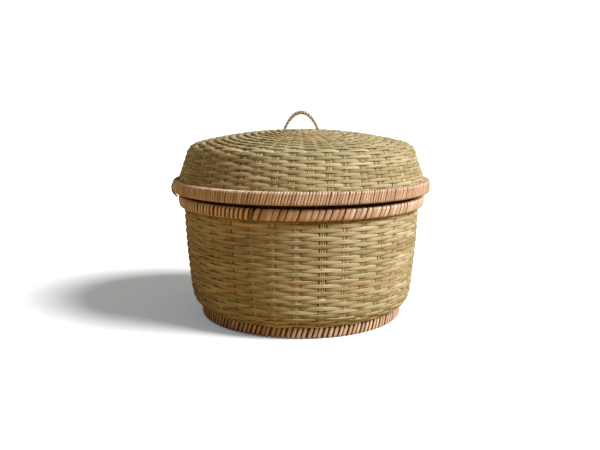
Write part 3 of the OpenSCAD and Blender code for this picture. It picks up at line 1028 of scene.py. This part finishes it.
@dataclass
class Bowl(Half):
    """The bowl: woven wall, turn and base, lashed rim and lashed foot."""

    radius: float = 80.8
    edge_z: float = 81.7
    neck_z: float = 73.865
    side_r: float = 560.0
    side_lean: float = 1.4
    corner: Pair = (62.69, 19.32)
    corner_r: float = 14.0
    base_z: float = 5.32
    # from the wall's outer face to its middle, less the relief that the floats stand proud
    inset: float = 1.2
    wall_t: float = 2.6
    row_pitch: float = 2.45
    first_row: float = 3.0
    rim_hoop_r: float = 2.7
    rim_hoop_z: float = 79.75
    rim_turns: int = 138
    rim_strip: float = 3.15
    rim_lean: float = 20.0
    # closer turns to the left of the splice, as a share of the common pitch
    rim_spacing: tuple[Pair, ...] = (
        (-180.0, 1.1), (-96.0, 1.1), (-90.0, 0.83), (-21.0, 0.83), (-20.0, 1.0), (15.0, 0.98), (30.0, 0.92),
        (95.0, 0.92), (100.0, 1.1), (180.0, 1.1))
    rim_splice: float = -20.3
    foot_r: float = 66.45
    foot_z: float = 3.05
    foot_hoop_r: float = 2.6
    foot_edge: float = 1.0
    foot_flat: float = 0.4
    foot_turns: int = 132
    foot_strip: float = 2.0
    foot_lean: float = 18.0
    strip_mid: float = 0.5
    # bunches round the wall and round the base, where its stalks start, and how far outside the
    # corner's middle its turn does
    bunches: int = 37
    base_bunches: int = 19
    stalks_from: float = 0.3
    turn_from: float = 9.0
    # radius at which the base takes over from the turn, with a bunch where the wall's rows end, and
    # at which the coil takes over from the base
    inner_from: float = 42.0
    base_bunch: float = -7.43
    coil_radius: float = 9.0
    bunch_seen: tuple[float, ...] = (
        -53.0, -43.0, -33.8, -23.1, -13.0, -2.0, 9.2, 19.9, 28.3, 37.9, 47.8, 56.5, 66.7)
    BODY = Body.BOWL
    PIECES = (
        "bowl_weaver_wall", "bowl_weaver_turn", "bowl_stakes", "bowl_weaver_base", "bowl_base_stakes",
        "bowl_weave_core", "bowl_weaver_inside", "bowl_weaver_floor")
    WEAVERS = "bowl_weavers"
    SHELL = "bowl_shell"

    def outline(self) -> Outline:
        """Draw the section of the woven wall's middle.

        Returns:
            The outline, from the rim's edge to the middle of the base.
        """
        lean = math.radians(self.side_lean)
        side = (self.radius - self.side_r * math.cos(lean), self.neck_z + self.side_r * math.sin(lean))
        top = math.asin((self.neck_z - side[1]) / (self.side_r - self.inset))
        bottom = math.atan2(self.corner[1] - side[1], self.corner[0] - side[0])
        wall_r, base = self.radius - self.inset, self.base_z + self.inset
        return Outline([
            straight((wall_r, self.edge_z), (wall_r, self.neck_z), 0.0),
            arc(side, self.side_r - self.inset, top, bottom),
            arc(self.corner, self.corner_r - self.inset, bottom, -math.pi / 2),
            straight((self.corner[0], base), (0.0, base), -math.pi / 2)])

    def weave(self) -> None:
        """Weave the wall and the base."""
        outline = self.outline()
        change = outline.at_radius(self.inner_from)
        wall = Weave(
            outline, self.bunches, self.bunch_seen, self.row_pitch, self.first_row, seed=3, dive=0.845,
            stains=((-27.5, 5.0, 3.3, 0.8, 0.6), (-37.5, 4.5, 20.0, 0.8, 0.6)))
        wall.rows = 2 * round((change - self.first_row) / self.row_pitch / 2)
        base = wall.middle(
            self.base_bunches, self.base_bunch, self.row_pitch, coil_radius=self.coil_radius)
        turn = outline.at_radius(self.corner[0] + self.turn_from)
        split = round((turn - self.first_row) / self.row_pitch)
        self.dress_weave(wall, base, split, self.stalks_from, change)

    def rim_path(self) -> Array:
        """Draw one turn round the rim: out under the hoop, over the top and down inside the wall.

        Returns:
            Rows of outwards and upwards from the hoop's middle on the wall's face.
        """
        reach = self.rim_hoop_r + self.strip_mid
        inside = -self.wall_t - 0.6
        return np.concatenate([
            [(-1.0, -3.4), (0.4, -3.3)], bow(0.8, -90, -12, (1.9, -2.45), 6), [(3.1, -0.4)],
            bow(1.0, 5, 96, (reach - 1.0, reach - 1.0), 6),
            [(0.2, reach - 0.2), (-0.6, reach - 0.4), (-1.2, reach - 0.6), (-2.2, reach - 0.9)],
            bow(0.5, 90, 180, (inside + 0.5, reach - 1.5), 4),
            [(inside, 0.0), (inside, -3.4), (inside + 0.2, -4.0), (inside + 1.4, -4.6)]])

    def foot_path(self) -> Array:
        """Draw one turn round the foot: down inside the ring, under it and up outside into the weave.

        Returns:
            Rows of outwards and upwards from the ring's middle.
        """
        reach = self.foot_hoop_r + self.strip_mid
        low = self.foot_edge + self.foot_flat - self.foot_hoop_r
        corner = self.foot_edge + self.strip_mid
        side = self.foot_hoop_r - self.foot_edge
        return np.concatenate([
            [(-reach + 0.6, 3.3), (-reach, 2.3), (-reach, 1.0)],
            bow(corner, 180, 270, (-side, low), 6), bow(corner, 270, 360, (side, low), 6),
            [(reach, 1.5), (reach, 3.4), (reach - 0.3, 4.6)]])

    def lash(self) -> None:
        """Lash the rim and the foot."""
        rim = Lashing(
            self.rim_path(), self.radius + 0.1, self.rim_hoop_z, self.rim_turns, self.rim_strip,
            self.rim_lean, seed=11, spacing=self.rim_spacing, splice=self.rim_splice, paleness=0.74,
            unevenness=0.17)
        foot = Lashing(
            self.foot_path(), self.foot_r, self.foot_z, self.foot_turns, self.foot_strip, self.foot_lean,
            seed=12, lowest=0.0, paleness=0.8, greenness=0.1)
        dress(rim.strips().build("bowl_rim_strip"), SPLIT_CANE, Body.BOWL, Slot.STRIP, "rim_lashing")
        dress(foot.strips().build("bowl_foot_strip"), SPLIT_CANE, Body.BOWL, Slot.STRIP, "foot_lashing")


@dataclass
class Lid(Half):
    """The lid: woven wall, shoulder and crown, and the rim lashed over two hoops."""

    radius: float = 83.95
    edge_z: float = 84.45
    bend_z: float = 95.55
    lean: float = 18.7
    shoulder: Pair = (68.07, 108.17)
    shoulder_r: float = 11.0
    crown_r: float = 307.0
    crest_z: float = 127.1
    # from the wall's outer face to its middle, less the relief that the floats stand proud
    inset: float = 1.25
    wall_t: float = 2.6
    row_pitch: float = 2.05
    first_row: float = 3.25
    hoop_t: float = 3.6
    hoop_h: float = 8.6
    hoop_low: float = 2.2
    inner_r: float = 1.7
    inner_z: float = 3.0
    turns: int = 148
    strip: float = 3.1
    strip_lean: float = 15.0
    strip_mid: float = 0.5
    # the old strip's place, width and thickness
    end_place: float = -79.6
    end_width: float = 2.2
    end_t: float = 1.1
    # bunches round the wall and round the crown, where its stalks start, and how far outside the
    # shoulder's middle its turn does
    bunches: int = 45
    crown_bunches: int = 23
    stalks_from: float = 2.0
    turn_from: float = 5.0
    # radius at which the crown takes over, with a bunch where the wall's rows end and wider rows, and
    # at which the coil takes over from the crown
    inner_from: float = 25.0
    crown_bunch: float = 7.83
    crown_widening: float = 1.25
    coil_radius: float = 8.0
    loop_r: float = 11.45
    bunch_seen: tuple[float, ...] = (
        -68.9, -59.2, -51.0, -43.7, -35.6, -26.3, -19.0, -11.1, -4.0, 3.9, 11.8, 18.7, 27.4, 35.1, 43.2, 50.9,
        59.7, 68.9)
    BODY = Body.LID
    PIECES = (
        "lid_weaver_wall", "lid_weaver_shoulder", "lid_stakes", "lid_weaver_crown", "lid_crown_stakes",
        "lid_weave_core", "lid_weaver_inside", "lid_weaver_ceiling")
    WEAVERS = "lid_weavers"
    SHELL = "lid_shell"

    def outline(self) -> Outline:
        """Draw the section of the woven wall's middle.

        Returns:
            The outline, from the rim's edge to the middle of the crown.
        """
        lean = math.radians(self.lean)
        centre = (0.0, self.crest_z - self.crown_r)
        knee = (self.radius - self.inset, self.bend_z - self.inset * math.tan(lean / 2))
        bend = self.shoulder_r - self.inset
        wall_top = (self.shoulder[0] + bend * math.cos(lean), self.shoulder[1] + bend * math.sin(lean))
        crown = math.atan2(self.shoulder[1] - centre[1], self.shoulder[0])
        return Outline([
            straight((knee[0], self.edge_z), knee, 0.0),
            straight(knee, wall_top, lean),
            arc(self.shoulder, bend, lean, crown),
            arc(centre, self.crown_r - self.inset, crown, math.pi / 2, 200)])

    def weave(self) -> None:
        """Weave the wall, the shoulder and the crown."""
        outline = self.outline()
        change = outline.at_radius(self.inner_from)
        alike = {"wander": 0.1, "stalk_pitch": 0.95}
        wall = Weave(
            outline, self.bunches, self.bunch_seen, self.row_pitch, self.first_row, seed=7, widens_at=12.0,
            widening=0.3, rounding=0.4, stains=((-46.0, 15.0, 17.5, 2.4, 0.85), (5.0, 30.0, 26.0, 6.0, 0.3)),
            **alike)
        wall.rows = 2 * (wall.rows_to(change) // 2)
        crown = wall.middle(
            self.crown_bunches, self.crown_bunch, self.row_pitch * self.crown_widening,
            coil_radius=self.coil_radius, eye_x=self.loop_r, thickness=1.0, bulge=0.4, **alike)
        turn = outline.at_radius(self.shoulder[0] + self.turn_from)
        self.dress_weave(wall, crown, wall.rows_to(turn), self.stalks_from, change)

    def rim_path(self) -> Array:
        """Draw one turn round the rim: down over the strap, under the edge and up over the inner hoop.

        Returns:
            Rows of outwards and upwards from the wall's edge.
        """
        out = self.strip_mid
        face, top, low = self.hoop_t, self.hoop_h + out, self.hoop_low - 0.35
        inside = -self.wall_t - 0.2
        return np.concatenate([
            [(-1.4, top - 0.2), (-0.6, top)], bow(0.9, 90, 0, (face - 0.9, top - 0.9), 7),
            [(face, self.hoop_h / 2)], bow(0.7, 0, -90, (face - 0.7, low + 0.7), 5),
            [(1.2, low), (-0.8, low)], bow(self.inner_r + out, -50, -270, (inside, self.inner_z)),
            [(inside + 0.7, self.inner_z + self.inner_r + out + 0.3)]])

    def end_path(self) -> Array:
        """Draw the end of an old strip, which stands off the outside of the band in a bow.

        Returns:
            Rows of outwards and upwards from the wall's edge.
        """
        top = self.hoop_h
        return np.array([
            (-1.2, top + 2.6), (0.2, top + 1.6), (1.8, top + 0.8), (3.2, top - 0.5), (4.2, top - 2.4),
            (4.6, 4.4), (4.4, 2.4), (3.7, 0.6), (2.4, -0.9), (1.0, -2.0)])

    def hoops(self) -> None:
        """Bend the strap outside the wall and the thinner cane inside it."""
        back, face, low, high = 0.3, self.hoop_t - 0.35, self.hoop_low + 0.1, self.hoop_h
        section = np.array([
            (back, low), (face - 0.25, low), (face, low + 0.5), (face, high - 1.3), (face - 0.95, high),
            (back, high)])
        strap = Hoop(section + (self.radius + 0.1, self.edge_z)).build("lid_strap")
        dress(strap, TAN_CANE, Body.LID, Slot.HOOP, "lid_outer_hoop")
        ring = bow(self.inner_r, 0, 345, (self.radius - self.wall_t - 0.1, self.edge_z + self.inner_z), 24)
        cane = Hoop(ring, edge=0.0).build("lid_inner_cane")
        dress(cane, BROWN_CANE, Body.LID, Slot.HOOP, "lid_inner_hoop")

    def lash(self) -> None:
        """Lash the rim over its hoops, and leave the end of an old strip on it."""
        self.hoops()
        edge = (self.radius + 0.1, self.edge_z)
        rim = Lashing(
            self.rim_path(), *edge, self.turns, self.strip, self.strip_lean, seed=21, lay=Lay.PAIRED,
            lean_left=5.0, samples=40, roundness=0.9, jitter=0.04, paleness=0.62, unevenness=0.16)
        dress(rim.strips().build("lid_rim_strip"), SPLIT_CANE, Body.LID, Slot.STRIP, "lid_lashing")
        end = Lashing(
            self.end_path(), *edge, 1, self.end_width, 4.0, seed=23, only=self.end_place,
            thickness=self.end_t)
        dress(end.strips().build("lid_strip_end"), OLD_STRIP, Body.LID, Slot.STRIP)


@dataclass
class Loop:
    """The lifting loop: two cane strands twisted together and tucked under the crown."""

    loop_r: float = 11.45
    loop_z: float = 126.85
    tail_z: float = 122.0
    tail_bend: float = 2.2
    tail_len: float = 9.0
    strand_r: float = 0.86
    offset: float = 0.48
    # the arch narrows by this share from the crest up
    narrowing: float = 0.2
    crest_z: float = 126.5
    twist: float = 4.5
    # a strand has this many ridges along it, this high against its radius
    lobes: int = 4
    ridge: float = 0.1
    RINGS_A_TWIST = 16
    SIDES = 14
    # number of points at which its line is walked
    WALKED = 40001
    # its thickness changes at this many places, by this share, and its ridges turn faster than the twist
    CHANGES = 80
    UNEVEN = 0.06
    RIDGE_TURN = 1.2

    def walk(self) -> tuple[Array, Array, Array]:
        """Walk the loop from the end of its right tail to the end of its left one.

        Returns:
            Distances walked, points in the loop's plane as x and z, and the way ahead at each.
        """
        bend, leg = self.tail_bend * math.pi / 2, self.loop_z - self.tail_z - self.tail_bend
        right = (self.tail_len, bend, leg)
        ends = np.cumsum((0.0, *right, self.loop_r * math.pi, *right[::-1]))
        # quarter turns that the way ahead has made at each end: inwards, up, over and down, and outwards
        quarters = np.array([2, 2, 1, 1, 3, 3, 2, 2])
        fine = np.linspace(0, ends[-1], self.WALKED)
        heading = np.interp(fine, ends, quarters * math.pi / 2)
        ahead = np.stack([np.cos(heading), np.sin(heading)], 1)
        steps = 0.5 * (ahead[1:] + ahead[:-1]) * fine[1]
        start = (self.loop_r + self.tail_bend + self.tail_len, self.tail_z)
        line = np.cumsum(np.concatenate([[start], steps]), axis=0)
        place = np.linspace(0, ends[-1], round(ends[-1] / self.twist * self.RINGS_A_TWIST))
        point, way = (
            np.stack([np.interp(place, fine, rows[:, i]) for i in range(2)], 1) for rows in (line, ahead))
        return place, point, unit(way)

    def strand(self, phase: float, seed: int) -> Strands:
        """Twist one strand round the loop's line.

        Args:
            phase: Where the strand starts round the line, in radians.
            seed: Seed for its uneven thickness.

        Returns:
            The one strand.
        """
        rng = np.random.default_rng(seed)
        place, point, ahead = self.walk()
        turn = WHOLE_TURN * place / self.twist + phase
        lift = np.stack([ahead[:, 1] * np.cos(turn), np.sin(turn), -ahead[:, 0] * np.cos(turn)], -1)
        line = np.stack([point[:, 0], 0 * place, point[:, 1]], -1) + self.offset * lift
        side = unit(np.cross(unit(np.gradient(line, axis=0)), lift))
        round_ = WHOLE_TURN * np.arange(self.SIDES) / self.SIDES
        uneven = drift(rng.uniform(-1, 1, self.CHANGES), np.linspace(0, self.CHANGES - 2, len(place)))
        ridges = 1 - self.ridge + self.ridge * np.cos(self.lobes * round_ + self.RIDGE_TURN * turn[:, None])
        size = (self.strand_r * ridges * (1 + self.UNEVEN * uneven[:, None]))[..., None]
        across, away = np.cos(round_)[:, None], np.sin(round_)[:, None]
        points = (line[:, None] + size * (across * lift[:, None] + away * side[:, None]))[None]
        height = (points[..., 2] - self.crest_z) / (self.loop_z + self.loop_r - self.crest_z)
        points[..., 0] *= 1 - self.narrowing * np.sin(math.pi / 2 * np.clip(height, 0, 1))
        pale = 0.45 + 0.25 * uneven
        tone = np.clip(np.stack([pale, 0.15 + 0 * pale, 0.1 + 0 * pale], -1), 0, 1)[None, :, None]
        return Strands(points, place[None, :, None], np.cos(2 * round_), np.array(float(seed)), tone)

    def make(self) -> None:
        """Make both strands."""
        first, second = self.strand(0.0, 31), self.strand(math.pi, 32)
        dress(first.build("loop_strand_a"), TWISTED_CANE, Body.LID, Slot.LOOP, "handle_strand_a")
        dress(second.build("loop_strand_b"), TWISTED_CANE, Body.LID, Slot.LOOP, "handle_strand_b")


class Hoops:
    """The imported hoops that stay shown: two between the turns of their lashing, and the collar."""

    # the collar's near-black is painted shade in the gap between the rims
    NODES = {"foot_hoop": BROWN_CANE, "rim_hoop": TAN_CANE, "collar_ring": COLLAR_PAINTED_SHADE_CANE}

    def dress(self) -> None:
        """Give each packed hoop its cane finish."""
        for name, finish in self.NODES.items():
            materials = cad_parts[name].data.materials
            materials.clear()
            materials.append(finish.material())
            log.info("%s: packed node in %s", name, finish.name)


@dataclass
class Studio:
    """White paper floor, one soft lamp from the upper right, and the photograph's camera."""

    camera_place: tuple[float, float, float] = (-0.9, -485.35, 142.14)
    camera_pitch: float = 0.16727
    lens: float = 42.0
    key_turn: float = 70.0
    key_rise: float = 38.0
    key_spread: float = 26.0
    key_strength: float = 4.2
    # the world's light on the object, and how much of its white glossy surfaces mirror
    fill: float = 0.17
    fill_colour: str = "#ffe6b8"
    mirrored: float = 0.35
    # the floor to the camera, with the room's cool light on its shaded part, and to the object
    floor_half: float = 6.0
    floor_z: float = -0.0001
    floor_seen: float = 1.35
    floor_glow: float = 0.22
    cool: tuple[float, float, float, float] = (0.5, 0.73, 1.0, 1.0)
    bounce: str = "#bc9a66"

    def floor(self) -> None:
        """Lay the floor, which keeps the basket's shadow and is white to the camera elsewhere."""
        mesh = bpy.data.meshes.new("floor")
        side, corners = self.floor_half, ((-1, -1), (1, -1), (1, 1), (-1, 1))
        mesh.from_pydata([(x * side, y * side, self.floor_z) for x, y in corners], [], [(0, 1, 2, 3)])
        material, tree = bare_material("matt white paper on a warm table")
        seen = add(tree, "LightPath").outputs["Is Camera Ray"]
        white = (self.floor_seen, self.floor_seen, self.floor_seen, 1.0)
        shown = {0: seen, 6: linear(self.bounce), 7: white}
        colour = add(tree, "Mix", shown, data_type="RGBA", clamp_result=False)
        glow = add(tree, "Math", {0: seen, 1: self.floor_glow}, operation="MULTIPLY").outputs[0]
        matt = add(tree, "BsdfDiffuse", {"Color": colour.outputs[2]})
        lit = add(tree, "Emission", {"Color": self.cool, "Strength": glow})
        both = add(tree, "AddShader", {0: matt.outputs[0], 1: lit.outputs[0]})
        add(tree, "OutputMaterial", {"Surface": both.outputs[0]})
        mesh.materials.append(material)
        stand("floor", mesh)

    def world(self) -> None:
        """Surround the scene with a weak even fill that the camera sees as white."""
        world = bpy.data.worlds.new("studio")
        bpy.context.scene.world = world
        world.use_nodes = True
        tree = world.node_tree
        tree.nodes.clear()
        rays = add(tree, "LightPath").outputs
        through = {0: rays["Is Camera Ray"], 1: rays["Is Transmission Ray"]}
        seen = add(tree, "Math", through, operation="MAXIMUM").outputs[0]
        glossy = {0: rays["Is Glossy Ray"], 1: self.mirrored, 2: seen}
        seen = add(tree, "Math", glossy, operation="MULTIPLY_ADD").outputs[0]
        strength = add(tree, "MapRange", {0: seen, 3: self.fill, 4: 1.0}).outputs[0]
        colour = add(tree, "Mix", {0: seen, 6: linear(self.fill_colour), 7: (1, 1, 1, 1)}, data_type="RGBA")
        back = add(tree, "Background", {"Color": colour.outputs[2], "Strength": strength})
        add(tree, "OutputWorld", {"Surface": back.outputs[0]})

    def lamp(self) -> None:
        """Hang the key lamp."""
        turn, rise = math.radians(self.key_turn - 90), math.radians(self.key_rise)
        away = Vector((math.cos(turn) * math.cos(rise), math.sin(turn) * math.cos(rise), math.sin(rise)))
        lamp = bpy.data.lights.new("key", "SUN")
        lamp.angle = math.radians(self.key_spread)
        lamp.energy = self.key_strength
        key = stand("key", lamp)
        key.location = away
        key.rotation_mode = "QUATERNION"
        key.rotation_quaternion = away.to_track_quat("Z", "Y")

    def camera(self) -> None:
        """Stand the camera where the photograph was taken from."""
        data = bpy.data.cameras.new("camera")
        data.lens = self.lens
        data.sensor_width = 36.0
        data.clip_start = 0.01
        camera = stand("camera", data)
        aim = Matrix.Rotation(math.pi / 2 - self.camera_pitch, 4, "X")
        camera.matrix_world = Matrix.Translation(Vector(self.camera_place) * MM) @ aim
        bpy.context.scene.camera = camera

    def set_up(self) -> None:
        """Set up the whole studio."""
        self.floor()
        self.world()
        self.lamp()
        self.camera()
        bpy.context.scene.view_settings.view_transform = "Standard"


def main() -> None:
    """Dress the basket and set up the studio."""
    logging.basicConfig(level=logging.INFO, format="%(name)s: %(message)s")
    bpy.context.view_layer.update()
    Studio().set_up()
    bowl = Bowl()
    bowl.weave()
    bowl.lash()
    lid = Lid()
    lid.weave()
    lid.lash()
    Loop().make()
    Hoops().dress()


if __name__ == "__main__":
    main()
